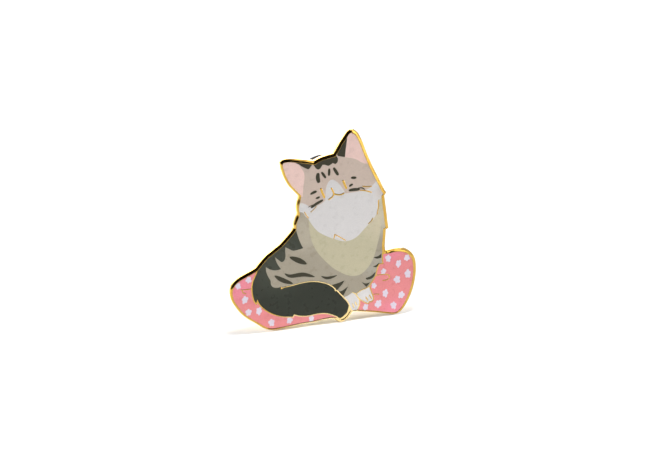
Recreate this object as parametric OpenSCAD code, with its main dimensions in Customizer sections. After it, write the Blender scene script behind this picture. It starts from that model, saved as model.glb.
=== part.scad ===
// Enamel pin: a tabby cat asleep on a flowered cushion, on two posts with rubber clutches.
// The badge stands upright. Its face looks along -Y and its flat back lies on the plane y = 0.
// The origin is on that back face, midway between the two posts, which point along +Y.

/* [Badge] */
// Thickness of the badge over its raised metal border
badge_t = 1.2; // [1:0.1:2]
// Thickness of the metal sheet left under the enamel
sheet_t = 0.7; // [0.5:0.05:0.8]
// Width of the raised metal border
border_w = 0.55; // [0.45:0.05:0.65]
// How much wider the border is where it faces right
border_extra = 0.2; // [0:0.05:0.3]
// Width of the raised metal lines inside the picture
line_w = 0.24; // [0.18:0.02:0.3]
// How far the enamel lies below the top of the border
enamel_drop = 0.06; // [0.04:0.01:0.1]
// Thickness of the printed marks on the enamel
print_t = 0.03; // [0.02:0.01:0.04]

/* [Posts] */
// Distance between the two posts
post_gap = 20; // [19:0.5:21]
// Diameter of a post
post_d = 1.1; // [1:0.05:1.3]
// Length of a post behind the badge
post_len = 10.5; // [10:0.5:12]
// Diameter of the foot that is soldered to the badge
foot_d = 3.2; // [2.6:0.1:3.6]

/* [Clutches] */
// Diameter of a clutch's flange
clutch_d = 11.6; // [10:0.2:13]
// Diameter of a clutch's barrel
barrel_d = 8.6; // [7:0.2:9.4]
// Length of a clutch along its post
clutch_len = 6; // [5:0.5:6]
// Thickness of a clutch's flange
flange_t = 1.5; // [1.2:0.1:2]
// Room for cloth between the badge's back and a clutch
cloth_gap = 2.1; // [2.1:0.1:2.5]
// Radial clearance between a post and its clutch
post_clearance = 0.05; // [0.02:0.01:0.1]

/* [Hidden] */
$fn = 64;

// Enamel and print levels, measured from the back face
enamel_top = badge_t - enamel_drop;
print_top = enamel_top + print_t;

// Post details
dimple_depth = 0.1;
solder_w = 0.4;
foot_t = 0.35;
groove_depth = 0.2;
groove_len = 0.6;
tip_len = 0.8;
tip_r = 0.12;
groove_at = cloth_gap + clutch_len + 0.1;

// Longest straight piece of a smoothed outline
chord = 0.35;
// Thinnest detail that a fill keeps, and the gap that it leaves to its neighbours
thinnest = 0.06;
fill_gap = 0.004;
// A place far outside the picture
far = 30;

gold = [0.80, 0.66, 0.36];
fur_dark = [0.22, 0.23, 0.21];
fur_grey = [0.66, 0.64, 0.59];
fur_face = [0.76, 0.70, 0.65];
fur_cream = [0.77, 0.73, 0.61];
fur_white = [0.85, 0.84, 0.84];
ear_pink = [0.90, 0.78, 0.74];
cushion_pink = [0.91, 0.57, 0.60];
flower_white = [0.87, 0.83, 0.87];
solder_grey = [0.72, 0.70, 0.66];
rubber_black = [0.06, 0.06, 0.06];

// ---------------------------------------------------------------- smoothing

// A point between b and c on the smooth curve through a, b, c and d
function spline_point(a, b, c, d, t) =
    (2 * b + (c - a) * t + (2 * a - 5 * b + 4 * c - d) * t * t
        + (3 * b - a - 3 * c + d) * t * t * t) / 2;

// A smooth open curve through the points p, without its last point
function curve(p) = [
    for (i = [0 : len(p) - 2])
        let (n = len(p) == 2 ? 1 : max(1, ceil(norm(p[i + 1] - p[i]) / chord)))
        for (k = [0 : n - 1])
            spline_point(p[max(i - 1, 0)], p[i], p[i + 1], p[min(i + 2, len(p) - 1)], k / n)
];

// A closed outline of smooth runs: each run starts at a corner and ends at the next run's corner
function outline(runs) = [
    for (i = [0 : len(runs) - 1])
        each curve(concat(runs[i], [runs[(i + 1) % len(runs)][0]]))
];

function whole_curve(p) = concat(curve(p), [p[len(p) - 1]]);

// The direction square to a path at its point i
function square_to(path, i) =
    let (step = path[min(i + 1, len(path) - 1)] - path[max(i - 1, 0)])
    [-step[1], step[0]] / norm(step);

// A band of the given half-widths along a path
function band(path, half) = concat(
    [for (i = [0 : len(path) - 1]) path[i] + square_to(path, i) * half[i]],
    [for (i = [len(path) - 1 : -1 : 0]) path[i] - square_to(path, i) * half[i]]
);

// A line of even width with round ends
module line(p, w) {
    path = whole_curve(p);
    polygon(band(path, [for (q = path) w / 2]));
    for (end = [p[0], p[len(p) - 1]])
        translate(end) circle(d = w, $fn = 16);
}

// A brush mark: full in the middle and narrow at both ends, where it is the share tip of its width
module brush(p, w, tip) {
    path = whole_curve(p);
    last = len(path) - 1;
    swell = 1 - 1.4 * tip;
    polygon(band(path, [
        for (i = [0 : last]) w / 2 * (tip + (1 - tip) * pow(sin(180 * i / last), swell))
    ]));
}

// A closed area with smooth edges between its corners
module area(runs) {
    polygon(outline(runs));
}

// ---------------------------------------------------------------- the drawing, in millimetres

BADGE = [
    // left ear's top, crown and right ear
    [[-10.3, 17.9], [-9.2, 18.0], [-7.9, 17.8], [-5.8, 17.35]],
    [[-3.9, 16.8], [-2.5, 17.4], [-1, 17.75]],
    [[0.2, 17.95], [0.8, 19.0], [1.5, 20.2], [2.3, 21.4], [3.0, 22.35], [3.65, 22.7],
     [4.3, 22.5], [5.0, 21.9], [5.55, 20.95], [6.05, 19.8], [6.55, 18.4], [7.1, 16.9],
     [7.65, 15.5], [8.25, 14.1], [8.95, 12.6], [9.7, 11.0], [10.45, 9.35]],
    [[11.1, 8.1]],
    // chest's right side
    [[10.7, 7.5], [10.9, 6], [11.15, 4], [11.4, 2]],
    [[11.65, 0.2]],
    [[11.1, 0], [11.0, -2], [10.9, -3.4]],
    // cushion's right end
    [[11.0, -4.75], [12, -4.75], [13.2, -4.6], [14.4, -4.7], [15.4, -5.05], [16.35, -5.7],
     [17.05, -6.6], [17.45, -7.7], [17.6, -9.1], [17.6, -10.7], [17.35, -12.4], [16.95, -14.1],
     [16.35, -15.8], [15.6, -17.3], [14.8, -18.45], [13.95, -19.15], [12.9, -19.3], [11.2, -18.9],
     [9.4, -18.45], [7.0, -17.95], [5.2, -17.6]],
    // tail's tip
    [[4.1, -17.5], [3.7, -18.1], [3.2, -18.7], [2.6, -19.2], [2.0, -19.45], [1.4, -19.4],
     [0.9, -19.05], [0.45, -18.65], [-0.1, -18.45]],
    // cushion's front edge and left end
    [[-0.7, -18.4], [-2.2, -18.5], [-4, -18.7], [-6, -18.75], [-8, -18.9], [-10.5, -19.1],
     [-12.4, -19.2], [-13.6, -18.95], [-14.8, -18.3], [-16.1, -17.25], [-17.7, -16.05],
     [-19.1, -14.7], [-20.2, -13.15], [-21.05, -11.6], [-21.45, -10.1], [-21.4, -8.9],
     [-20.9, -7.8], [-20.1, -6.95], [-19.1, -6.35], [-18.1, -5.9], [-17.0, -5.4]],
    // back
    [[-16.0, -4.9], [-15.1, -3.8], [-14, -2.6], [-13, -1.85], [-12, -1.1], [-11, -0.4],
     [-10, 0.6], [-9, 1.7], [-8.4, 2.4]],
    // neck
    [[-8.1, 2.9], [-8.15, 3.6], [-7.85, 4.6], [-7.45, 5.8], [-7.6, 7.0], [-7.5, 8.0], [-7.25, 9.0]],
    // left ear's side
    [[-7.15, 9.75], [-8.1, 10.9], [-9.0, 12.0], [-9.65, 13.1], [-10.15, 14.2], [-10.55, 15.4],
     [-10.85, 16.6], [-10.8, 17.5]],
];

// The tail's outer edge, from the back down and round to its tip
TAIL_LEFT = [
    [[-15.6, -4.4], [-15.85, -5.4], [-16.25, -6.4], [-16.75, -7.6], [-16.95, -9.0],
     [-16.85, -10.6], [-16.5, -12.0]],
    [[-16.0, -12.7]],
    [[-15.8, -12.0], [-15.45, -12.8], [-14.9, -13.6], [-14.1, -14.4], [-13.1, -15.15],
     [-12.0, -15.75], [-10.8, -16.25], [-9.6, -16.5]],
    [[-8.4, -16.7]],
    [[-8.1, -16.25], [-7.2, -16.6], [-6.1, -16.85], [-4.8, -16.9], [-3.4, -16.75],
     [-2.0, -16.8], [-0.9, -17.1], [0, -17.5]],
    [[0.8, -17.95]],
];
// Its other edge, from the tip up and back to the haunch
TAIL_RIGHT = [
    [[1.7, -19]],
    [[3.2, -17.9], [3.6, -17.0], [3.55, -15.9], [3.1, -14.9], [2.5, -14.1], [1.9, -13.35],
     [1.25, -12.55], [0.85, -12.05]],
    [[0.55, -12.05]],
    [[0.45, -11.6], [-0.2, -10.95], [-1.1, -10.3], [-2.1, -9.85], [-3.3, -9.45],
     [-4.6, -9.25], [-6.0, -9.25], [-7.4, -9.4], [-8.8, -9.6], [-10.1, -9.75]],
    [[-10.8, -10.0]],
];
// Solid metal between the tail's tip and the border
TAIL_TIP = [
    [[0.85, -18.05]],
    [[1.55, -18.35], [2.1, -18.1], [2.6, -17.7], [3.05, -17.2], [3.25, -16.5]],
    [[3.5, -15.5]],
    [[4.3, -17.5]],
    [[3.4, -18.8]],
    [[1, -19.4]],
];
// Where the dark back meets the grey coat in claws of fur
BACK_CLAWS = [
    [[-10.9, -9.6], [-11.8, -9.65], [-12.5, -9.4], [-12.95, -8.8], [-13.05, -7.9],
     [-13.5, -7.0], [-13.9, -5.9]],
    [[-14.0, -4.75], [-13.1, -5.4], [-12.0, -5.75]],
    [[-10.85, -5.65], [-11.3, -4.9], [-11.8, -3.9]],
    [[-12.1, -2.8], [-11.4, -3.5], [-10.7, -4.1], [-10.15, -3.8], [-9.9, -2.9], [-9.95, -1.9]],
    [[-9.9, -0.95], [-9.1, -1.45], [-8.3, -1.9], [-7.3, -1.85]],
    [[-6.2, -1.65], [-6.7, -0.6], [-7.1, 0.5], [-7.4, 1.5]],
    [[-7.65, 2.4]],
    [[-8.4, 3]],
    [[-far, 4]],
    [[-far, -4.4]],
];
// The cushion lies left of the tail and right of the forelegs
CUSHION_LEFT = concat([[[-far, -far]], [[-far, -4.4]]], TAIL_LEFT, [[[1.7, -far]]]);
CUSHION_RIGHT = [
    [[far, -3]],
    [[far, -far]],
    [[5.2, -far]],
    [[5.2, -17.1], [5.55, -16.3], [5.7, -15.4]],
    [[5.55, -14.5], [6.0, -14.95], [6.6, -15.4], [7.1, -15.75]],
    [[7.55, -15.9]],
    [[7.75, -15.55], [8.2, -15.6], [8.6, -15.2], [8.6, -14.6], [8.3, -13.7], [8.0, -12.8]],
    [[7.8, -12.0], [8.2, -11.3], [8.7, -10.5], [9.1, -9.7], [9.35, -8.7], [9.5, -8.0]],
    [[9.8, -7.4]],
    [[10.6, -7.35], [10.5, -6.3]],
    [[10.55, -3]],
];
PAW_LEFT = [
    [[4.2, -12.95], [4.9, -13.5], [5.45, -14.5], [5.7, -15.4], [5.5, -16.4]],
    [[5.2, -17.2]],
    [[5.2, -18]],
    [[3.2, -18]],
    [[2.4, -14.1]],
    [[2.5, -13.75], [3.3, -13.5]],
];
PAW_RIGHT = [
    [[5.1, -13.3], [6.1, -12.7], [7.1, -12.4]],
    [[7.55, -11.95]],
    [[8.2, -12.0]],
    [[9.2, -14.5]],
    [[8.8, -16.2]],
    [[6.2, -16]],
    [[5.4, -14.3]],
];
// Bib, muzzle and cheek fur
BIB = [
    [[-7.4, 8.3]],
    [[-6.3, 8.25], [-5.5, 7.8], [-4.6, 7.1], [-3.2, 7.3], [-2.1, 7.8]],
    [[-1.6, 8.3], [-1.55, 9.6], [-1.45, 10.8], [-1.1, 11.9], [-0.5, 12.5], [0.2, 12.45],
     [0.9, 11.9], [1.6, 11.0], [2.2, 10.0]],
    [[2.6, 9.2], [4.2, 9.2], [5.8, 9.3], [7.4, 9.6], [8.3, 10.3]],
    [[9.05, 11]],
    [[11, 11]],
    [[10.7, 7.6]],
    [[9.6, 6.9], [9.65, 5.4]],
    [[9.25, 3.9], [8.4, 2.8], [7.4, 1.7], [6.3, 0.6], [5.4, -0.35], [4.4, -1.0], [3.3, -1.3],
     [2.0, -1.2], [0.7, -0.7], [-0.7, 0.0], [-1.9, 0.7], [-3.1, 1.6], [-4.2, 3.0]],
    [[-5.1, 4.6], [-5.8, 5.4], [-6.3, 6.2]],
    [[-7.4, 6.4]],
];
CHEST = [
    [[-5.1, 5.0], [-5.0, 3.2], [-4.8, 1.5], [-4.45, -0.3], [-3.85, -1.8], [-3.15, -3.1],
     [-2.2, -4.4], [-1.1, -5.7], [0.1, -6.95], [1.5, -8.0], [3.0, -8.9], [4.4, -9.3],
     [5.8, -9.15], [7.0, -8.3], [7.9, -7.1], [8.6, -5.7], [9.1, -4.1], [9.5, -2.4],
     [9.9, -0.6], [10.1, 1.2], [10.3, 3.2], [10.6, 5.2]],
    [[11.5, 6]],
    [[11.5, 9]],
    [[0, 4]],
];
// The head's lower side runs hidden under the bib
HEAD = [
    [[-far, far]],
    [[far, far]],
    [[far, 11]],
    [[9, 11]],
    [[3, 5]],
    [[-5, 6]],
    [[-6.4, 8.2]],
    [[-far, 8.2]],
];
EAR_LEFT = [
    [[-far, 9.6]],
    [[-6.3, 9.6], [-6.2, 11.0], [-6.05, 12.4], [-5.9, 13.7], [-6.0, 14.8], [-6.6, 15.9]],
    [[-7.2, 17]],
    [[-7.2, far]],
    [[-far, far]],
];
EAR_RIGHT = [
    [[2.5, 17.05], [3.7, 16.75], [4.8, 16.3], [5.8, 15.6]],
    [[6.6, 15.15]],
    [[far, 14.9]],
    [[far, far]],
    [[3.0, far]],
    [[3.0, 21.7], [2.8, 20.2], [2.6, 18.6]],
];
CROWN = [
    [[-4.4, 18]],
    [[-4.05, 16.3], [-3.6, 15.5], [-3.05, 15.1], [-2.55, 15.4]],
    [[-2.2, 16.0], [-1.7, 15.95], [-1.0, 15.65], [-0.4, 15.9]],
    [[-0.05, 16.15], [0.5, 15.85], [0.95, 16.3], [1.0, 17.0]],
    [[0.75, 17.5]],
    [[0.3, 18.2]],
];
EAR_LEFT_MARK = [
    [[-8.3, 17.5], [-7.2, 16.8], [-6.3, 16.1], [-5.5, 15.6], [-5.0, 15.45]],
    [[-4.3, 16.3]],
    [[-4.4, 18]],
    [[-8.3, 18.5]],
];
EAR_RIGHT_MARK = [
    [[1.05, 17.5]],
    [[2.45, 17.1], [2.6, 18.6], [2.8, 20.2]],
    [[3.0, 21.9]],
    [[2, 22.5]],
    [[-0.2, 18.5]],
    [[0.75, 17.9]],
];
// Brush marks: the points of the middle line, then the full width
FOREHEAD_MARKS = [
    [[[-3.1, 14.4], [-3.15, 13.3], [-2.9, 12.2]], 0.84],
    [[[-2.4, 14.5], [-1.95, 13.8], [-1.5, 13.05]], 0.54],
    [[[-0.8, 15.05], [-0.8, 14.3], [-0.85, 13.45]], 0.54],
    [[[0.1, 15.15], [0.55, 14.3], [1.1, 13.35]], 0.64],
];
CHEEK_LEFT_MARKS = [
    [[[-4.7, 9.95], [-4.1, 10.25], [-3.35, 10.45]], 0.6],
    [[[-3.6, 8.9], [-3.15, 9.0], [-2.7, 9.15]], 0.5],
    [[[-4.6, 7.0], [-3.4, 7.75], [-2.05, 8.4]], 0.62],
    [[[-5.2, 7.15], [-4.6, 7.45], [-3.9, 7.6]], 0.2],
];
CHEEK_RIGHT_MARKS = [
    [[[3.7, 12.45], [4.3, 12.4], [4.9, 12.3]], 0.58],
    [[[3.35, 10.6], [3.7, 10.85], [4.15, 11.05]], 0.5],
    [[[3.25, 9.75], [4.4, 9.8], [5.6, 9.7]], 0.7],
    [[[5.0, 10.0], [6.0, 9.95], [6.7, 9.5]], 0.28],
];
HAUNCH_MARKS = [
    [[[-9.05, -3.2], [-7.3, -4.15], [-5.5, -5.25]], 1.15],
    [[[-10.1, -6.7], [-8.9, -7.45], [-6.2, -7.5], [-3.8, -8.35]], 0.95],
    [[[-12.2, -6.9], [-10.5, -8.15], [-8.4, -9.2]], 1],
    [[[-2.45, -8.4], [-1.3, -8.95], [-0.1, -8.9], [0.9, -8.65]], 0.64],
];
// Claw-shaped marks on the legs
LEG_MARKS = [
    [[[-0.3, -10.7], [1.0, -10.5]], [[2.35, -10.1], [1.9, -10.8]], [[0.9, -11.9], [0.3, -11.4]]],
    [[[1.1, -12.4], [2.0, -12.3]], [[3.1, -11.6], [2.7, -12.4]], [[2.2, -13.3], [1.6, -12.9]]],
    [[[8.7, -5.75], [9.6, -5.6]], [[10.2, -5.2]], [[10.2, -6.0], [9.3, -6.05]]],
    [[[8.6, -7.8], [9.2, -7.55]], [[9.65, -7.2], [9.5, -7.7], [9.1, -7.95]]],
    [[[7.0, -10.15], [8.0, -9.9]], [[8.95, -9.15], [8.7, -9.9], [8.1, -10.4]], [[7.2, -10.5]]],
    [[[6.3, -11.1], [7.0, -11.4]], [[7.75, -11.3], [7.35, -11.8]], [[7.1, -12.1], [6.8, -11.7]]],
];
// Raised metal lines: the points, then the width as a share of line_w
METAL_LINES = [
    // eyes
    [[[-2.5, 10.85], [-2.2, 9.9], [-1.8, 8.95]], 1.8],
    [[[2.1, 12.0], [2.4, 11.2], [2.75, 10.35]], 1.8],
    // nose and mouth
    [[[-0.35, 10.7], [0.0, 10.0], [0.2, 9.4]], 1.4],
    [[[0.2, 9.4], [-0.15, 8.8], [-0.85, 8.35]], 1.4],
    [[[0.2, 9.4], [0.9, 9.15], [1.6, 9.05], [2.25, 9.3]], 1.4],
    // whiskers
    [[[-4.6, 6.1], [-4.0, 6.6], [-3.5, 7.15]], 0.9],
    [[[6.2, 10.3], [7.0, 10.1], [8.0, 10.05]], 1],
    [[[5.7, 9.5], [6.9, 9.2], [8.0, 8.75]], 1.1],
    // tufts of the bib
    [[[-5.9, 6.2], [-5.5, 5.4], [-5.1, 4.85]], 0.9],
    [[[9.5, 6.8], [9.5, 5.3], [9.25, 3.8]], 0.9],
    [[[8.35, 3.0], [8.0, 2.4], [7.45, 1.95]], 0.9],
    [[[0.2, -0.4], [0.4, 0.5]], 0.9],
    [[[0.4, 0.5], [1.4, -0.2], [2.6, -1.1]], 0.9],
    // tops of the forelegs' paws
    [[[4.2, -12.95], [4.9, -13.5], [5.45, -14.5]], 1],
    [[[5.1, -13.3], [6.1, -12.7], [7.1, -12.4], [7.8, -12.0]], 1],
    // toes
    [[[4.2, -15.5], [4.5, -16.4]], 0.9],
    [[[4.75, -15.2], [5.1, -16.0]], 0.9],
    [[[7.0, -14.4], [7.45, -15.3]], 0.9],
    [[[7.75, -14.1], [8.2, -14.9]], 0.9],
    // creases of the cushion
    [[[-16.9, -9.15], [-18.0, -9.15], [-19.2, -9.1]], 0.9],
    [[[-18.9, -9.15], [-18.8, -9.75], [-18.2, -10.0]], 0.9],
    [[[9.1, -9.85], [10.4, -9.8], [11.5, -9.95], [12.0, -10.5], [11.6, -11.1], [10.6, -11.2]], 0.9],
    [[[8.7, -14.1], [9.25, -14.05], [9.8, -14.2]], 0.8],
];
// Each flower: its middle, its turn and its size
FLOWERS_RIGHT = [
    [[11.7, -6.4], 0, 1], [[15.7, -6.8], 40, 0.95], [[13.9, -7.85], 110, 1],
    [[10.7, -9.2], 75, 0.9], [[15.9, -10.4], 150, 1.15], [[13.65, -11.4], 20, 1.1],
    [[8.7, -12.1], 200, 0.85], [[11.15, -14.15], 130, 1.05], [[14.6, -15], 60, 1.05],
    [[9.65, -16.35], 250, 1.15], [[12.95, -17.15], 0, 1.05], [[6.95, -16.7], 95, 0.95],
];
FLOWERS_LEFT = [
    [[-17.6, -7.1], 30, 0.95], [[-19.8, -8.1], 170, 0.95], [[-18.4, -11.4], 80, 1.05],
    [[-17.7, -14.3], 220, 1], [[-15.5, -14.3], 120, 1.05], [[-12.9, -17.3], 10, 1.05],
    [[-9.1, -17.3], 60, 1], [[-4.5, -17.6], 140, 0.95],
];
// Each petal: its direction and how far its middle lies from the flower's
PETALS = [[0, 0.37], [65, 0.46], [140, 0.34], [210, 0.44], [285, 0.37]];
petal_d = 0.5;
flower_stretch = 1.35;

// ---------------------------------------------------------------- flat shapes

module badge_shape() {
    area(BADGE);
    translate([border_extra, 0]) area(BADGE);
}

module inside_border() {
    offset(delta = -border_w) area(BADGE);
}

// A metal line along the edge of an area
module edge_line() {
    difference() {
        offset(delta = line_w / 2) children();
        offset(delta = -line_w / 2) children();
    }
}

// The dark fur has a metal edge except where it meets the grey coat
module tail_line() {
    difference() {
        edge_line() area(concat(TAIL_LEFT, TAIL_RIGHT, BACK_CLAWS));
        translate([-15, -10.2]) square([4.1, 14.5]);
        translate([-11, -8.5]) square([6, 14.5]);
    }
}

module metal_lines() {
    tail_line();
    area(TAIL_TIP);
    edge_line() area(CUSHION_RIGHT);
    for (mark = METAL_LINES)
        line(mark[0], mark[1] * line_w);
}

// Every pocket that enamel fills
module pockets() {
    difference() {
        inside_border();
        metal_lines();
    }
}

// Keeps what lies in the pockets, without slivers
module in_pockets() {
    offset(delta = thinnest / 2)
        offset(delta = -thinnest / 2 - fill_gap)
            intersection() {
                pockets();
                children();
            }
}

module cushion() {
    area(CUSHION_LEFT);
    area(CUSHION_RIGHT);
}

module dark_fur() {
    difference() {
        area(concat(TAIL_LEFT, TAIL_RIGHT, BACK_CLAWS));
        cushion();
    }
}

module paws() {
    difference() {
        union() {
            area(PAW_LEFT);
            area(PAW_RIGHT);
        }
        dark_fur();
        cushion();
    }
}

module ears() {
    area(EAR_LEFT);
    area(EAR_RIGHT);
}

module head() {
    difference() {
        area(HEAD);
        area(BIB);
    }
}

module marks(list, tip = 0.36) {
    for (mark = list)
        brush(mark[0], mark[1], tip);
}

module flower(turn) {
    scale([1, flower_stretch]) {
        circle(d = 1.9 * petal_d, $fn = 16);
        for (petal = PETALS)
            rotate(turn + petal[0])
                translate([0, petal[1]])
                    circle(d = petal_d, $fn = 16);
    }
}

module flowers(list) {
    for (place = list)
        translate(place[0])
            scale(place[2])
                flower(place[1]);
}

// ---------------------------------------------------------------- solids

// Stands a flat drawing up, with its thickness from the level low to the level high
module upright(low, high) {
    rotate([90, 0, 0])
        translate([0, 0, low])
            linear_extrude(high - low)
                children();
}

module enamel(shade) {
    color(shade) upright(sheet_t, enamel_top) in_pockets() children();
}

module print(shade) {
    color(shade) upright(enamel_top, print_top) in_pockets() children();
}

// Places a post, its solder or its clutch at the height of one of the two posts
module on_post(side) {
    translate([0, 0, side * post_gap / 2])
        rotate([-90, 0, 0])
            children();
}

module badge_plate() {
    color(gold) difference() {
        upright(0, badge_t) offset(delta = 0) badge_shape();
        upright(sheet_t, badge_t + 1) offset(delta = 0) pockets();
        for (side = [-1, 1])
            on_post(side) translate([0, 0, -dimple_depth])
                cylinder(r = foot_d / 2 + solder_w + 0.1, h = 1);
    }
}

module ear_left_enamel() {
    enamel(ear_pink) area(EAR_LEFT);
}

module ear_right_enamel() {
    enamel(ear_pink) area(EAR_RIGHT);
}

module face_enamel() {
    enamel(fur_face) difference() {
        head();
        ears();
    }
}

module bib_enamel() {
    enamel(fur_white) area(BIB);
}

module chest_enamel() {
    enamel(fur_cream) difference() {
        area(CHEST);
        area(BIB);
        head();
    }
}

module coat_enamel() {
    enamel(fur_grey) difference() {
        square(2 * far, center = true);
        area(CHEST);
        area(BIB);
        head();
        dark_fur();
        cushion();
        paws();
    }
}

module back_and_tail_enamel() {
    enamel(fur_dark) dark_fur();
}

module paw_left_enamel() {
    enamel(fur_white) intersection() {
        paws();
        area(PAW_LEFT);
    }
}

module paw_right_enamel() {
    enamel(fur_white) difference() {
        intersection() {
            paws();
            area(PAW_RIGHT);
        }
        area(PAW_LEFT);
    }
}

module cushion_left_enamel() {
    enamel(cushion_pink) area(CUSHION_LEFT);
}

module cushion_right_enamel() {
    enamel(cushion_pink) area(CUSHION_RIGHT);
}

module crown_print() {
    print(fur_dark) area(CROWN);
}

module ear_left_print() {
    print(fur_dark) area(EAR_LEFT_MARK);
}

module ear_right_print() {
    print(fur_dark) area(EAR_RIGHT_MARK);
}

module forehead_print() {
    print(fur_dark) marks(FOREHEAD_MARKS);
}

module cheek_left_print() {
    print(fur_dark) marks(CHEEK_LEFT_MARKS);
}

module cheek_right_print() {
    print(fur_dark) marks(CHEEK_RIGHT_MARKS);
}

module haunch_print() {
    print(fur_dark) difference() {
        marks(HAUNCH_MARKS, 0.1);
        dark_fur();
    }
}

module leg_print() {
    print(fur_dark) difference() {
        offset(delta = 0.06)
            for (mark = LEG_MARKS)
                area(mark);
        dark_fur();
        cushion();
        paws();
    }
}

module cushion_left_print() {
    print(flower_white) intersection() {
        flowers(FLOWERS_LEFT);
        area(CUSHION_LEFT);
    }
}

module cushion_right_print() {
    print(flower_white) intersection() {
        flowers(FLOWERS_RIGHT);
        area(CUSHION_RIGHT);
    }
}

// A needle post on a flat foot, with a groove and a blunt point at its free end
module post(side) {
    r = post_d / 2;
    color(gold) on_post(side) rotate_extrude() polygon([
        [0, -dimple_depth],
        [foot_d / 2, -dimple_depth],
        [foot_d / 2, foot_t],
        [r, foot_t],
        [r, groove_at],
        [r - groove_depth, groove_at + groove_len / 4],
        [r - groove_depth, groove_at + groove_len * 3 / 4],
        [r, groove_at + groove_len],
        [r, post_len - tip_len],
        [tip_r, post_len],
        [0, post_len],
    ]);
}

// The hollow-sided ring of solder round a post's foot
module solder(side) {
    color(solder_grey) on_post(side) rotate_extrude() polygon(concat(
        [[foot_d / 2, -dimple_depth]],
        [for (a = [0 : 15 : 90])
            [foot_d / 2 + solder_w * (1 - sin(a)), -dimple_depth + solder_w * (1 - cos(a))]]
    ));
}

// A rubber clutch: a wide flange against the cloth and a barrel to grip
module clutch(side) {
    flange_r = clutch_d / 2;
    barrel_r = barrel_d / 2;
    bore_r = post_d / 2 + post_clearance;
    lead_in = 0.5;
    round = 0.35;
    color(rubber_black) on_post(side) translate([0, 0, cloth_gap])
        rotate_extrude() polygon(concat(
            [[bore_r, lead_in], [bore_r + lead_in, 0]],
            corner([flange_r, 0], round, -90),
            corner([flange_r, flange_t], round, 0),
            [[barrel_r + 0.5, flange_t], [barrel_r, flange_t + 0.5]],
            corner([barrel_r, clutch_len], 2 * round, 0),
            [[bore_r + lead_in, clutch_len], [bore_r, clutch_len - lead_in]]
        ));
}

// A rounded outer corner at p, whose arc starts at the angle start and turns a quarter
function corner(p, r, start) =
    let (middle = p - r * [1, start < 0 ? -1 : 1])
    [for (a = [start : 15 : start + 90]) middle + r * [cos(a), sin(a)]];

module upper_post() { post(1); }
module lower_post() { post(-1); }
module upper_solder() { solder(1); }
module lower_solder() { solder(-1); }
module upper_clutch() { clutch(1); }
module lower_clutch() { clutch(-1); }

badge_plate();
ear_left_enamel();
ear_right_enamel();
face_enamel();
bib_enamel();
chest_enamel();
coat_enamel();
back_and_tail_enamel();
paw_left_enamel();
paw_right_enamel();
cushion_left_enamel();
cushion_right_enamel();
crown_print();
ear_left_print();
ear_right_print();
forehead_print();
cheek_left_print();
cheek_right_print();
haunch_print();
leg_print();
cushion_left_print();
cushion_right_print();
upper_post();
lower_post();
upper_solder();
lower_solder();
upper_clutch();
lower_clutch();
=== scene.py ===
"""Looks of the enamel pin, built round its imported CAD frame. Lengths named _MM are in millimetres."""

import math

import bpy
import numpy as np
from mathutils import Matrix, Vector
from mathutils.bvhtree import BVHTree
from mathutils.geometry import delaunay_2d_cdt


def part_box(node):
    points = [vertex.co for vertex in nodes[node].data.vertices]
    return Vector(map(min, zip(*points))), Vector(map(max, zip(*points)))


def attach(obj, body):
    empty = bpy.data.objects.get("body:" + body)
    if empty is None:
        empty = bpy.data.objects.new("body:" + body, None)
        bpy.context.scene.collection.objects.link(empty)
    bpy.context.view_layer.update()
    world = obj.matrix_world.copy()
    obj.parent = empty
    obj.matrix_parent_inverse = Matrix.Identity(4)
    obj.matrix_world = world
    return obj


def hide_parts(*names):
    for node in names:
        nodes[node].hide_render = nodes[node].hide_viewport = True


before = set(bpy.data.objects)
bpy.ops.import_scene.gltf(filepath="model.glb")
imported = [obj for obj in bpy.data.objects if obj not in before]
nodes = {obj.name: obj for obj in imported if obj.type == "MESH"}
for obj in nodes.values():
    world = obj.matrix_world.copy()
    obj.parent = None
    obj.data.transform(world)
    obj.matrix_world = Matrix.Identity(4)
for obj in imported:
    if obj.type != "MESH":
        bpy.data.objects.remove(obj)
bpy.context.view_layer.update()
scene = bpy.context.scene
scene.view_settings.view_transform = "Standard"

MM = 0.001

# Depths of the badge, along Y in millimetres: the face looks along -Y
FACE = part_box("badge_plate")[0].y / MM
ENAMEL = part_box("face_enamel")[0].y / MM
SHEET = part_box("face_enamel")[1].y / MM
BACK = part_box("badge_plate")[1].y / MM

# The border: its rounding towards the outside and its small rounding towards the enamel
OUTER_ROUND = 0.72
OUTER_DROP = 0.55
INNER_ROUND = 0.06
INNER_DROP = 0.06
BORDER_WIDTH = 0.6
# The lines inside the border: their rounding, and how far and how quickly they step down from it
LINE_ROUND = 0.12
LINE_DROP = 0.025
LINE_STEP = 0.035
STEP_REACH = 0.08
# The chamfer towards the enamel where the border runs along the bottom
LOW_RUN_REACH = 0.27
LOW_RUN_DROP = 0.19
# The groove between the border and a line that runs close beside it
GROOVE_PLACE = 0.72
GROOVE_REACH = 0.12
GROOVE_DEPTH = 0.08
GROOVE_CLEARANCE = 0.1
BACK_ROUND = 0.08
# The enamel creeps up the metal beside it
CREEP_RISE = 0.012
CREEP_REACH = 0.14
FILL_GAP = 0.004
INK_THICKNESS = 0.016
INK_ROUND = 0.04
INK_FOOT = 0.02

# Depths inside an outline at which the meshes have rings of points
EDGE_RINGS = (0.02, 0.06, 0.11, 0.17, 0.23, 0.29, 0.35, 0.42, 0.6, 0.66, 0.72, 0.78, 0.84)
POCKET_RINGS = (0.03, 0.06, 0.11)
ENAMEL_RINGS = (0.04, 0.09, 0.15)
INK_RINGS = (0.02, 0.05)

# The longest stretch between two points of an outline
METAL_STEP = 0.14
FILL_STEP = 0.2
DIMPLE_STEP = 0.3

# ---------------------------------------------------------------- flat outlines


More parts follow.
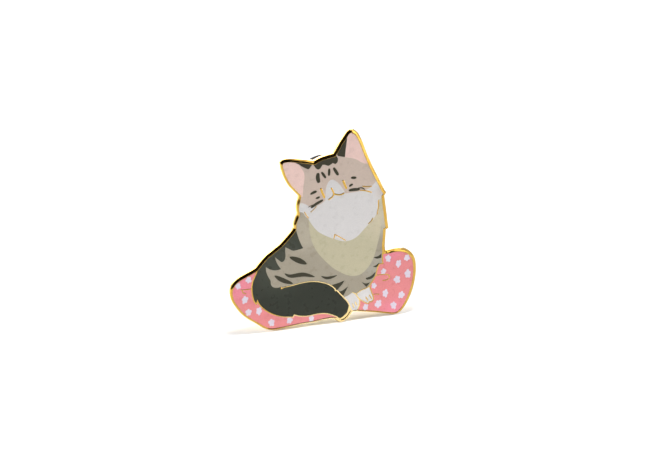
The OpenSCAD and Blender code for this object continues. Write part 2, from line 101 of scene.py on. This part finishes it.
def flat_loops(node, level):
    """The closed edges of a node's flat faces at the depth level, as (x, z) in mm.

    The solid is on the left of every edge.
    """
    mesh = nodes[node].data
    directed = {}
    place = {}
    for face in mesh.polygons:
        corners = [mesh.vertices[i].co / MM for i in face.vertices]
        if any(abs(p.y - level) > 1e-3 for p in corners):
            continue
        if face.normal.y > 0:
            corners.reverse()
        keys = []
        for p in corners:
            key = (round(p.x * 1e4), round(p.z * 1e4))
            place[key] = (p.x, p.z)
            keys.append(key)
        for a, b in zip(keys, keys[1:] + keys[:1]):
            directed[(a, b)] = directed.get((a, b), 0) + 1
    following = {}
    for (a, b), count in directed.items():
        if count > directed.get((b, a), 0):
            following.setdefault(a, []).append(b)
    loops = []
    while following:
        start = min(following)
        loop = [start]
        here = start
        while True:
            there = following[here].pop()
            if not following[here]:
                del following[here]
            if there == start:
                break
            loop.append(there)
            here = there
        if len(loop) > 2:
            loops.append(np.array([place[k] for k in loop]))
    return loops


def unit(v):
    """Rows of v at length 1."""
    return v / np.maximum(np.linalg.norm(v, axis=1, keepdims=True), 1e-9)


def smooth_loop(loop, step, corner=28.0):
    """The loop with curved stretches between its points. A turn above corner degrees stays sharp."""
    keep = np.linalg.norm(np.roll(loop, -1, 0) - loop, axis=1) > 0.004
    loop = loop[keep]
    ahead = np.roll(loop, -1, 0) - loop
    length = np.linalg.norm(ahead, axis=1)
    leaving = unit(ahead)
    coming = np.roll(leaving, 1, 0)
    cosine = (leaving * coming).sum(1)
    soft = (cosine > math.cos(math.radians(corner)))[:, None]
    mean = unit(leaving + coming)
    start = np.where(soft, mean, leaving)
    end = np.where(soft, mean, coming)
    points = []
    for i in range(len(loop)):
        j = (i + 1) % len(loop)
        pieces = max(1, math.ceil(length[i] / step))
        for k in range(pieces):
            t = k / pieces
            points.append(
                loop[i] * (2 * t**3 - 3 * t**2 + 1)
                + loop[j] * (3 * t**2 - 2 * t**3)
                + start[i] * length[i] * (t**3 - 2 * t**2 + t)
                + end[j] * length[i] * (t**3 - t**2)
            )
    return np.array(points)


def inward(loop):
    """At each point of a loop, the direction into its solid, longer at a sharp turn."""
    leaving = unit(np.roll(loop, -1, 0) - loop)
    coming = np.roll(leaving, 1, 0)
    left = unit(np.stack([-(leaving + coming)[:, 1], (leaving + coming)[:, 0]], 1))
    side = np.stack([-leaving[:, 1], leaving[:, 0]], 1)
    return left / np.clip((left * side).sum(1, keepdims=True), 0.4, 1)


class Fence:
    """Tells how far a flat point is from a set of loops."""

    def __init__(self, loops):
        corners = []
        quads = []
        for loop in loops:
            first = len(corners)
            n = len(loop)
            for x, z in loop:
                corners += [(x, -1, z), (x, 1, z)]
            for i in range(n):
                a = first + 2 * i
                b = first + 2 * ((i + 1) % n)
                quads.append((a, b, b + 1, a + 1))
        self.tree = BVHTree.FromPolygons(corners, quads)

    def distance(self, points, limit=2.0):
        """How far each point is from the loops, up to the limit."""
        found = [self.tree.find_nearest((x, 0, z), limit)[3] for x, z in points]
        return np.array([limit if d is None else d for d in found])

    def downward(self, points):
        """How much of the way to the nearest loop leads down, from -1 to 1."""
        falls = []
        for x, z in points:
            nearest, _, _, away = self.tree.find_nearest((x, 0, z))
            falls.append((z - nearest.z) / max(away, 1e-6))
        return np.array(falls)


def inside(points, loops):
    """Which flat points lie within the loops, by counting crossings."""
    crossings = np.zeros(len(points), int)
    px, pz = points[:, 0], points[:, 1]
    for loop in loops:
        x0, z0 = loop[:, 0], loop[:, 1]
        x1, z1 = np.roll(x0, -1), np.roll(z0, -1)
        for k in range(len(loop)):
            if z0[k] == z1[k]:
                continue
            spans = (z0[k] > pz) != (z1[k] > pz)
            if not spans.any():
                continue
            at = x0[k] + (pz[spans] - z0[k]) / (z1[k] - z0[k]) * (x1[k] - x0[k])
            crossings[spans] += px[spans] < at
    return crossings % 2 == 1


def triangles(loops, extra):
    """The points of the loops and the extra points, and triangles that fill the loops."""
    points = np.concatenate(list(loops) + [extra.reshape(-1, 2)])
    edges = []
    first = 0
    for loop in loops:
        n = len(loop)
        edges += [(first + i, first + (i + 1) % n) for i in range(n)]
        first += n
    found = delaunay_2d_cdt([Vector(p) for p in points], edges, [], 0, 1e-6)
    places = np.array([tuple(v) for v in found[0]])
    faces = np.array(found[2])
    kept = faces[inside(places[faces].mean(1), loops)]
    return places, kept


# ---------------------------------------------------------------- heights

outline = [smooth_loop(loop, METAL_STEP) for loop in flat_loops("badge_plate", BACK)]
outline = [max(outline, key=lambda loop: np.ptp(loop[:, 0]))]
front_loops = flat_loops("badge_plate", FACE)
widest = max(range(len(front_loops)), key=lambda i: np.ptp(front_loops[i][:, 0]))
pocket_loops = [smooth_loop(loop, METAL_STEP) for i, loop in enumerate(front_loops) if i != widest]
outer_fence = Fence(outline)
metal_fence = Fence(pocket_loops)


def metal_height(points):
    """Depth of the metal's face: a border with a rounded shoulder, and lower, rounded lines.

    The border has a chamfer beside the enamel along the bottom, and a groove beside a wide line.
    """
    to_edge = outer_fence.distance(points)
    to_pocket = metal_fence.distance(points)
    border = to_edge < BORDER_WIDTH
    reach = np.where(border, INNER_ROUND, LINE_ROUND)
    drop = np.where(border, INNER_DROP, LINE_DROP)
    shoulder = np.clip(1 - to_edge / OUTER_ROUND, 0, 1)
    outer = OUTER_DROP * (1 - np.sqrt(1 - shoulder**2))
    inner = drop * np.clip(1 - to_pocket / reach, 0, 1) ** 2
    low_run = np.clip((outer_fence.downward(points) - 0.8) / 0.12, 0, 1) * border
    chamfer = LOW_RUN_DROP * low_run * np.clip(1 - to_pocket / LOW_RUN_REACH, 0, 1)
    step = np.clip((to_edge - BORDER_WIDTH) / STEP_REACH, 0, 1)
    step = LINE_STEP * step**2 * (3 - 2 * step)
    groove = np.clip(1 - np.abs(to_edge - GROOVE_PLACE) / GROOVE_REACH, 0, 1)
    groove *= np.clip(to_pocket / GROOVE_CLEARANCE - 1, 0, 1)
    return FACE + outer + np.maximum(inner, chamfer) + step + GROOVE_DEPTH * groove


def enamel_height(points):
    """Depth of the enamel's face, which rises a little beside the metal."""
    to_metal = metal_fence.distance(points)
    return ENAMEL - CREEP_RISE * np.clip(1 - to_metal / CREEP_REACH, 0, 1) ** 2


def ring_points(loops, depths, accept):
    """Points at the given depths inside the loops, where accept says that they belong."""
    rings = [np.zeros((0, 2))]
    own = Fence(loops)
    for depth in depths:
        for loop in loops:
            points = loop + inward(loop) * depth
            away = own.distance(points)
            rings.append(points[(np.abs(away - depth) < 0.12 * depth + 0.002) & accept(points)])
    return np.concatenate(rings)


# ---------------------------------------------------------------- meshes


class Shell:
    """Collects flat layers and the walls between them as one mesh."""

    def __init__(self):
        self.corners = []
        self.faces = []
        self.shades = []

    def layer(self, points, depth, faces, towards_back=False, shade=0):
        """Adds a filled layer and returns the number of its first corner."""
        first = len(self.corners)
        depth = np.broadcast_to(depth, len(points))
        self.corners += [(x * MM, y * MM, z * MM) for (x, z), y in zip(points, depth)]
        for face in faces:
            face = [first + int(i) for i in face]
            self.faces.append(face[::-1] if towards_back else face)
            self.shades.append(shade)
        return first

    def wall(self, front, back, count, shade=0):
        """Joins two rings of count corners, from a front ring to the ring behind it."""
        for i in range(count):
            j = (i + 1) % count
            self.faces.append([front + j, front + i, back + i, back + j])
            self.shades.append(shade)

    def made(self, name, materials, sharp=55.0):
        """The finished object. Exactly flat faces are shaded flat, and the others smoothly."""
        mesh = bpy.data.meshes.new(name)
        mesh.from_pydata(self.corners, [], self.faces)
        for material in materials:
            mesh.materials.append(material)
        mesh.polygons.foreach_set("material_index", self.shades)
        mesh.update()
        mesh.shade_smooth()
        for face in mesh.polygons:
            face.use_smooth = abs(face.normal.y) < 0.99999
        mesh.set_sharp_from_angle(angle=math.radians(sharp))
        made = bpy.data.objects.new(name, mesh)
        scene.collection.objects.link(made)
        return made


def stands_for(piece, body, slot, *replaced):
    """Ties a finished piece to its CAD body and hides the nodes that it stands for. slot is not used."""
    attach(piece, body)
    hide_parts(*replaced)
    return piece


def relief(name, node, height, deep, depths, accept, material, slot, spread=0.0):
    """A piece with the outline of a CAD node, the given face depth and a flat back at the depth deep."""
    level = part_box(node)[0].y / MM
    loops = [smooth_loop(loop, FILL_STEP) for loop in flat_loops(node, level)]
    loops = [loop - inward(loop) * spread for loop in loops]
    shell = Shell()
    points, faces = triangles(loops, ring_points(loops, depths, accept))
    front = shell.layer(points, height(points), faces)
    flat, fill = triangles(loops, np.zeros((0, 2)))
    back = shell.layer(flat, deep, fill, towards_back=True)
    first = 0
    for loop in loops:
        shell.wall(front + first, back + first, len(loop))
        first += len(loop)
    return stands_for(shell.made(name, [material]), "badge", slot, node)


# ---------------------------------------------------------------- materials


class Nodes:
    """A material's node tree with short calls for the nodes that this scene uses."""

    def __init__(self, name):
        self.material = bpy.data.materials.new(name)
        self.material.use_nodes = True
        self.tree = self.material.node_tree
        self.shader = self.tree.nodes["Principled BSDF"]
        coordinates = self.tree.nodes.new("ShaderNodeTexCoord")
        scaled = self.tree.nodes.new("ShaderNodeVectorMath")
        scaled.operation = "SCALE"
        scaled.inputs["Scale"].default_value = 1 / MM
        self.tree.links.new(coordinates.outputs["Object"], scaled.inputs[0])
        self.place = scaled.outputs[0]

    def link(self, source, target):
        """Joins an output to an input."""
        self.tree.links.new(source, target)

    def noise(self, scale, detail, roughness=0.5, stretch=None, seed=0.0):
        """Noise whose scale is in features per millimetre, from 0 to 1."""
        node = self.tree.nodes.new("ShaderNodeTexNoise")
        node.noise_dimensions = "4D"
        node.inputs["W"].default_value = seed
        node.inputs["Scale"].default_value = scale
        node.inputs["Detail"].default_value = detail
        node.inputs["Roughness"].default_value = roughness
        source = self.place
        if stretch:
            source = self.vector("MULTIPLY", source, stretch)
        self.link(source, node.inputs["Vector"])
        return node.outputs["Fac"]

    def vector(self, operation, source, value):
        """A vector operation with a fixed second value."""
        node = self.tree.nodes.new("ShaderNodeVectorMath")
        node.operation = operation
        self.link(source, node.inputs[0])
        node.inputs[1].default_value = value
        return node.outputs[0]

    def span(self, source, low, high, to_low, to_high):
        """Maps low..high smoothly to to_low..to_high."""
        node = self.tree.nodes.new("ShaderNodeMapRange")
        node.interpolation_type = "SMOOTHSTEP"
        self.link(source, node.inputs["Value"])
        for name, value in (("From Min", low), ("From Max", high), ("To Min", to_low), ("To Max", to_high)):
            node.inputs[name].default_value = value
        return node.outputs["Result"]

    def math(self, operation, a, b):
        """Arithmetic with two outputs or numbers."""
        node = self.tree.nodes.new("ShaderNodeMath")
        node.operation = operation
        for socket, value in zip(node.inputs, (a, b)):
            if isinstance(value, (int, float)):
                socket.default_value = value
            else:
                self.link(value, socket)
        return node.outputs[0]

    def mix(self, factor, a, b):
        """A colour between a and b, which are outputs or colours."""
        node = self.tree.nodes.new("ShaderNodeMix")
        node.data_type = "RGBA"
        self.link(factor, node.inputs["Factor"])
        for socket, value in ((node.inputs[6], a), (node.inputs[7], b)):
            if isinstance(value, tuple):
                socket.default_value = (*value, 1)
            else:
                self.link(value, socket)
        return node.outputs[2]

    def brighten(self, colour, factor):
        """The colour times a factor."""
        node = self.tree.nodes.new("ShaderNodeVectorMath")
        node.operation = "SCALE"
        if isinstance(colour, tuple):
            node.inputs[0].default_value = colour
        else:
            self.link(colour, node.inputs[0])
        self.link(factor, node.inputs["Scale"])
        return node.outputs[0]

    def distance(self, point):
        """How far a place of the material is from a point, in mm, seen along Y."""
        flat = self.vector("MULTIPLY", self.place, (1, 0, 1))
        node = self.tree.nodes.new("ShaderNodeVectorMath")
        node.operation = "DISTANCE"
        self.link(flat, node.inputs[0])
        node.inputs[1].default_value = point
        return node.outputs["Value"]

    def bump(self, height, strength, distance, before=None):
        """A normal from a height whose full range is distance mm high."""
        node = self.tree.nodes.new("ShaderNodeBump")
        node.inputs["Strength"].default_value = strength
        node.inputs["Distance"].default_value = distance * MM
        self.link(height, node.inputs["Height"])
        if before is not None:
            self.link(before, node.inputs["Normal"])
        return node.outputs["Normal"]

    def finish(self, colour, roughness, normal=None, **fixed):
        """Joins the outputs to the shader, sets its fixed values and returns the material."""
        self.link(colour, self.shader.inputs["Base Color"])
        self.link(roughness, self.shader.inputs["Roughness"])
        if normal is not None:
            self.link(normal, self.shader.inputs["Normal"])
        for name, value in fixed.items():
            self.shader.inputs[name.replace("_", " ")].default_value = value
        return self.material


# How brightly the light shows a white enamel, and how much glare a full gloss adds
ENAMEL_LIGHT = 1.14
ENAMEL_GLARE = 0.065
DARKEST = 0.004


def linear(red, green, blue):
    """A display colour from 0 to 255 as linear light."""
    return tuple(
        (c / 255) / 12.92 if c <= 10 else ((c / 255 + 0.055) / 1.055) ** 2.4 for c in (red, green, blue)
    )


def enamel_base(colour, gloss):
    """The enamel's own colour that shows as the given display colour under this scene's light."""
    return tuple(max(DARKEST, (c - ENAMEL_GLARE * gloss) / ENAMEL_LIGHT) for c in linear(*colour))


def gold_material(name, grain=0.0):
    """Polished plating with faint cloudiness, hairline wear and a painted reflection of the bright floor,
    which makes it paler towards the lower middle. grain roughens a struck back.
    """
    n = Nodes(name)
    cloud = n.noise(0.35, 3, seed=1.0)
    fine = n.noise(9, 4, 0.6, seed=2.0)
    hair = n.noise(2.0, 3, 0.6, stretch=(1, 14, 5), seed=3.0)
    colour = n.mix(n.span(cloud, 0.35, 0.65, 0, 1), (0.48, 0.29, 0.06), (0.54, 0.34, 0.075))
    # Painted reflection: the gold is mixed paler towards the lower middle of the badge. This stands in for
    # the bright floor that the metal reflects there.
    painted_floor_reflection = n.span(n.distance((-2, 0, -14.5)), 6, 11, 1, 0)
    colour = n.mix(painted_floor_reflection, colour, (0.72, 0.56, 0.26))
    colour = n.mix(n.span(fine, 0.55, 0.8, 0, 0.25), colour, (0.38, 0.21, 0.045))
    rough = n.math("ADD", n.span(hair, 0.35, 0.7, 0.10, 0.20), n.span(cloud, 0.3, 0.7, 0, 0.05))
    if grain:
        rough = n.math("ADD", rough, 0.16)
    normal = n.bump(fine, 0.10 + grain, 0.02)
    normal = n.bump(hair, 0.08, 0.03, normal)
    return n.finish(colour, rough, normal, Metallic=1.0)


def enamel_material(name, colour, tints=(), mottle=0.02, speck=0.05, rough=0.3, gloss=0.3):
    """Baked enamel with a fine printed grain. colour and the tints are display colours.

    Each tint is a place (x, z) and a reach in mm, and the colour that the enamel nears there.
    """
    n = Nodes(name)
    cloud = n.noise(0.8, 3, seed=4.0)
    grain = n.noise(5, 3, 0.6, seed=5.0)
    fleck = n.noise(9, 2, 0.5, seed=6.0)
    shade = enamel_base(colour, gloss)
    for x, z, reach, tint in tints:
        away = n.distance((x, 0, z))
        shade = n.mix(n.span(away, 0.2 * reach, reach, 1, 0), shade, enamel_base(tint, gloss))
    shade = n.brighten(shade, n.span(cloud, 0.3, 0.7, 1 - mottle, 1 + mottle))
    shade = n.brighten(shade, n.span(grain, 0.3, 0.7, 1 - speck, 1 + speck))
    shade = n.brighten(shade, n.span(fleck, 0.6, 0.8, 1, 1 + 2 * speck))
    roughness = n.span(cloud, 0.3, 0.7, rough - 0.04, rough + 0.06)
    return n.finish(shade, roughness, Specular_IOR_Level=gloss)


def rubber_material(name):
    """Moulded rubber: dark, matte, with fine pitting and a little dust."""
    n = Nodes(name)
    pit = n.noise(7, 4, 0.6, seed=7.0)
    dust = n.noise(1.3, 4, 0.6, seed=8.0)
    colour = n.mix(n.span(pit, 0.3, 0.7, 0, 1), (0.007, 0.007, 0.007), (0.015, 0.014, 0.014))
    colour = n.mix(n.span(dust, 0.55, 0.8, 0, 0.3), colour, (0.045, 0.043, 0.04))
    rough = n.span(dust, 0.3, 0.7, 0.5, 0.72)
    return n.finish(colour, rough, n.bump(pit, 0.25, 0.05), Specular_IOR_Level=0.05)


def solder_material(name):
    """Dull solder with a wavy, slightly pitted skin."""
    n = Nodes(name)
    wave = n.noise(2.2, 3, seed=9.0)
    pit = n.noise(14, 3, 0.6, seed=10.0)
    colour = n.mix(n.span(wave, 0.3, 0.7, 0, 1), (0.42, 0.39, 0.33), (0.62, 0.60, 0.56))
    rough = n.span(pit, 0.3, 0.7, 0.3, 0.5)
    normal = n.bump(pit, 0.3, 0.02)
    return n.finish(colour, rough, n.bump(wave, 0.5, 0.08, normal), Metallic=1.0)


def paper_material(name):
    """The pale floor."""
    n = Nodes(name)
    fibre = n.noise(0.8, 3, seed=11.0)
    colour = n.mix(n.span(fibre, 0.3, 0.7, 0, 1), (0.88, 0.88, 0.88), (0.90, 0.90, 0.90))
    return n.finish(colour, n.span(fibre, 0.3, 0.7, 0.8, 0.9), n.bump(fibre, 0.1, 0.05))


polished_gold = gold_material("polished_gold")
struck_gold = gold_material("struck_gold", grain=0.3)

ear_pink = enamel_material("ear_pink_enamel", (238, 206, 197))
fur_taupe = enamel_material("fur_taupe_enamel", (204, 186, 173))
fur_white = enamel_material(
    "fur_white_enamel", (216, 213, 212), ((10.5, 8.5, 2.5, (212, 203, 198)),), mottle=0.01, speck=0.04
)
fur_cream = enamel_material("fur_cream_enamel", (193, 186, 158), ((11, 3, 7, (207, 197, 171)),))
fur_grey = enamel_material(
    "fur_grey_enamel",
    (164, 156, 139),
    ((-6, 1.5, 6, (181, 172, 154)), (11, 4, 7, (205, 196, 176)), (9, -8, 4, (171, 165, 151))),
)
fur_dark = enamel_material(
    "fur_dark_enamel", (55, 58, 51), ((-11.5, -3, 11, (72, 75, 66)),), speck=0.03, gloss=0.15
)
cushion_pink = enamel_material(
    "cushion_pink_enamel",
    (227, 139, 141),
    ((12, -4, 4.5, (233, 138, 155)), (13, -20, 6, (233, 139, 157)), (-20, -8, 5, (234, 139, 155))),
)
ink_dark = enamel_material("ink_dark", (68, 66, 55), rough=0.38, gloss=0.12)
ink_white = enamel_material("ink_white", (221, 211, 225), rough=0.38)
rubber = rubber_material("moulded_rubber")
solder = solder_material("dull_solder")

# ---------------------------------------------------------------- the badge's metal


def make_badge_metal():
    """The struck and plated plate: rounded border and lines, pockets, and a flat back with two dimples."""
    loops = outline + pocket_loops
    near_edge = ring_points(outline, EDGE_RINGS, lambda p: metal_fence.distance(p) > 0.1)
    near_pocket = []
    for depth in POCKET_RINGS:
        for loop in pocket_loops:
            points = loop + inward(loop) * depth
            away = metal_fence.distance(points)
            good = (np.abs(away - depth) < 0.12 * depth + 0.002) & (outer_fence.distance(points) > 0.37)
            near_pocket.append(points[good])
    points, faces = triangles(loops, np.concatenate([near_edge] + near_pocket))
    shell = Shell()
    top = shell.layer(points, metal_height(points), faces)
    n = len(outline[0])
    # the outside wall, with a small rounding at the back
    below = top
    for depth, inset in ((BACK - BACK_ROUND, 0.0), (BACK - 0.3 * BACK_ROUND, 0.3 * BACK_ROUND)):
        ring = shell.layer(outline[0] + inward(outline[0]) * inset, depth, [])
        shell.wall(below, ring, n)
        below = ring
    back_edge = outline[0] + inward(outline[0]) * BACK_ROUND
    dimples = sorted(flat_loops("badge_plate", BACK), key=lambda loop: -np.ptp(loop[:, 0]))[1:]
    dimples = [smooth_loop(loop, DIMPLE_STEP, corner=40) for loop in dimples]
    flat, fill = triangles([back_edge] + dimples, np.zeros((0, 2)))
    back = shell.layer(flat, BACK, fill, towards_back=True, shade=1)
    shell.wall(below, back, n)
    # the dimples, whose floors close them
    first = back + n
    floor_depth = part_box("upper_post")[0].y / MM
    for loop in dimples:
        hole, disc = triangles([loop[::-1]], np.zeros((0, 2)))
        deep = shell.layer(hole, floor_depth, disc, towards_back=True, shade=1)
        count = len(loop)
        for i in range(count):
            j = (i + 1) % count
            shell.faces.append([first + i, first + j, deep + count - 1 - j, deep + count - 1 - i][::-1])
            shell.shades.append(1)
        first += count
    # the pockets' walls and floors
    first = top + n
    for loop in pocket_loops:
        count = len(loop)
        hole, patch = triangles([loop[::-1]], np.zeros((0, 2)))
        deep = shell.layer(hole, SHEET, patch)
        for i in range(count):
            j = (i + 1) % count
            shell.faces.append([first + j, first + i, deep + count - 1 - i, deep + count - 1 - j])
            shell.shades.append(0)
        first += count
    piece = shell.made("badge_metal", [polished_gold, struck_gold], sharp=60.0)
    return stands_for(piece, "badge", "gold_plating", "badge_plate")


make_badge_metal()

# ---------------------------------------------------------------- enamel and ink

ENAMELS = (
    ("ear_left_enamel", ear_pink, "ear_pink"),
    ("ear_right_enamel", ear_pink, "ear_pink"),
    ("face_enamel", fur_taupe, "fur_taupe"),
    ("bib_enamel", fur_white, "fur_white"),
    ("chest_enamel", fur_cream, "fur_cream"),
    ("coat_enamel", fur_grey, "fur_grey"),
    ("back_and_tail_enamel", fur_dark, "fur_dark"),
    ("paw_left_enamel", fur_white, "fur_white"),
    ("paw_right_enamel", fur_white, "fur_white"),
    ("cushion_left_enamel", cushion_pink, "cushion_pink"),
    ("cushion_right_enamel", cushion_pink, "cushion_pink"),
)
PRINTS = (
    ("crown_print", ink_dark, "print_dark"),
    ("ear_left_print", ink_dark, "print_dark"),
    ("ear_right_print", ink_dark, "print_dark"),
    ("forehead_print", ink_dark, "print_dark"),
    ("cheek_left_print", ink_dark, "print_dark"),
    ("cheek_right_print", ink_dark, "print_dark"),
    ("haunch_print", ink_dark, "print_dark"),
    ("leg_print", ink_dark, "print_dark"),
    ("cushion_left_print", ink_white, "print_white"),
    ("cushion_right_print", ink_white, "print_white"),
)

for node, material, slot in ENAMELS:
    relief(
        node.replace("_enamel", "_fill"),
        node,
        enamel_height,
        SHEET,
        ENAMEL_RINGS,
        lambda p: metal_fence.distance(p) < 0.2,
        material,
        slot,
        spread=FILL_GAP,
    )

for node, material, slot in PRINTS:
    own_fence = Fence([smooth_loop(loop, FILL_STEP) for loop in flat_loops(node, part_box(node)[0].y / MM)])

    def ink_height(points, fence=own_fence):
        """Depth of the ink's face, which thins towards the mark's edge."""
        rim = np.clip(1 - fence.distance(points) / INK_ROUND, 0, 1)
        return enamel_height(points) - INK_THICKNESS * (1 - 0.8 * rim**2)

    relief(
        node.replace("_print", "_ink"),
        node,
        ink_height,
        ENAMEL + INK_FOOT,
        INK_RINGS,
        lambda p: np.full(len(p), True),
        material,
        slot,
    )

# ---------------------------------------------------------------- the back's hardware

for side in ("upper", "lower"):
    for part, material in (("post", polished_gold), ("solder", solder), ("clutch", rubber)):
        node = nodes[f"{side}_{part}"]
        node.data.materials.clear()
        node.data.materials.append(material)

# ---------------------------------------------------------------- floor, light and camera

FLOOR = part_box("badge_plate")[0].z - 0.00004
FLOOR_SIZE = 1.12
FLOOR_CENTRE = (0.44, 0.48)

bpy.ops.mesh.primitive_grid_add(x_subdivisions=8, y_subdivisions=8, size=1.0)
floor = bpy.context.object
floor.name = "floor"
floor.scale = (FLOOR_SIZE, FLOOR_SIZE, 1)
floor.location = (*FLOOR_CENTRE, FLOOR)
floor.data.materials.append(paper_material("white_paper"))


def area_light(name, place, target, size, power, kind):
    """A soft light of the size (width, height), from place towards target, in metres.

    A matt light lights the surfaces and a gloss light only shows in their reflections.
    """
    data = bpy.data.lights.new(name, "AREA")
    data.shape = "RECTANGLE"
    data.size, data.size_y = size
    data.energy = power
    light = bpy.data.objects.new(name, data)
    scene.collection.objects.link(light)
    light.location = place
    light.rotation_euler = (Vector(target) - Vector(place)).to_track_quat("-Z", "Y").to_euler()
    light.visible_glossy = kind == "gloss"
    light.visible_diffuse = kind == "matt"
    light.visible_camera = False


area_light("top_light", (0.0, -0.08, 0.45), (0, 0, 0), (0.12, 0.05), 0.9, "matt")
area_light("left_light", (-0.42, -0.06, 0.16), (0, 0, 0), (0.12, 0.08), 2.6, "matt")
area_light("right_light", (0.42, -0.06, 0.16), (0, 0, 0), (0.12, 0.08), 2.6, "matt")
area_light("front_light", (-0.12, -0.28, 0.2), (0, 0, 0), (0.2, 0.2), 0.26, "matt")
area_light("back_card", (-0.03, 0.5, 0.17), (0, 0, 0), (0.64, 0.36), 6.5, "gloss")
area_light("floor_glow", (-0.055, 0.065, FLOOR + 0.00002), (-0.055, 0.065, 1), (0.13, 0.13), 0.13, "gloss")
area_light("right_card", (0.027, -0.023, 0.022), (0.014, 0, -0.001), (0.02, 0.075), 0.012, "gloss")

CAMERA_AZIMUTH = math.radians(-17)
CAMERA_ELEVATION = math.radians(25)
CAMERA_DISTANCE = 0.6
CAMERA_TARGET = Vector((-0.0019, -0.00022, 0.00082))
back_to_camera = Vector(
    (
        math.sin(CAMERA_AZIMUTH) * math.cos(CAMERA_ELEVATION),
        -math.cos(CAMERA_AZIMUTH) * math.cos(CAMERA_ELEVATION),
        math.sin(CAMERA_ELEVATION),
    )
)


WALL_LIGHT = (1.1, 1.1, 1.1)
ROOM_DARK = (0.012, 0.010, 0.008)
# How much of the room's light reaches matt surfaces
MATT_SHARE = 0.35


def make_world():
    """A room with pale walls that is dark above and towards the camera."""
    world = bpy.data.worlds.new("studio")
    scene.world = world
    world.use_nodes = True
    tree = world.node_tree
    background = tree.nodes["Background"]
    direction = tree.nodes.new("ShaderNodeTexCoord").outputs["Generated"]

    def towards(x, y, z, outer, inner):
        """1 within the angle inner of a direction, falling to 0 at the angle outer, in degrees."""
        dot = tree.nodes.new("ShaderNodeVectorMath")
        dot.operation = "DOT_PRODUCT"
        tree.links.new(direction, dot.inputs[0])
        dot.inputs[1].default_value = Vector((x, y, z)).normalized()
        span = tree.nodes.new("ShaderNodeMapRange")
        span.interpolation_type = "SMOOTHSTEP"
        span.inputs["From Min"].default_value = math.cos(math.radians(outer))
        span.inputs["From Max"].default_value = math.cos(math.radians(inner))
        tree.links.new(dot.outputs["Value"], span.inputs["Value"])
        return span.outputs["Result"]

    def mixed(factor, below, above):
        """A colour between below and above."""
        mix = tree.nodes.new("ShaderNodeMix")
        mix.data_type = "RGBA"
        tree.links.new(factor, mix.inputs["Factor"])
        for socket, value in ((mix.inputs[6], below), (mix.inputs[7], above)):
            if isinstance(value, tuple):
                socket.default_value = (*value, 1)
            else:
                tree.links.new(value, socket)
        return mix.outputs[2]

    def times(a, b):
        """The product of two outputs."""
        node = tree.nodes.new("ShaderNodeMath")
        node.operation = "MULTIPLY"
        tree.links.new(a, node.inputs[0])
        tree.links.new(b, node.inputs[1])
        return node.outputs[0]

    left_part = towards(-1, 0, 0, 130, 124)
    room = mixed(times(towards(-0.19, -0.62, 0.77, 78, 72), left_part), WALL_LIGHT, ROOM_DARK)
    room = mixed(times(towards(-0.35, -0.93, -0.1, 58, 50), left_part), room, ROOM_DARK)
    tree.links.new(room, background.inputs["Color"])
    path = tree.nodes.new("ShaderNodeLightPath")
    strength = tree.nodes.new("ShaderNodeMapRange")
    strength.inputs["To Min"].default_value = 1.0
    strength.inputs["To Max"].default_value = MATT_SHARE
    tree.links.new(path.outputs["Is Diffuse Ray"], strength.inputs["Value"])
    tree.links.new(strength.outputs["Result"], background.inputs["Strength"])


make_world()

camera_data = bpy.data.cameras.new("camera")
camera_data.sensor_width = 36.0
camera_data.lens = 167.44
camera_data.clip_start = 0.01
camera_data.clip_end = 10.0
camera = bpy.data.objects.new("camera", camera_data)
scene.collection.objects.link(camera)
camera.location = CAMERA_TARGET + back_to_camera * CAMERA_DISTANCE
camera.rotation_mode = "QUATERNION"
camera.rotation_quaternion = (-back_to_camera).to_track_quat("-Z", "Y")
scene.camera = camera
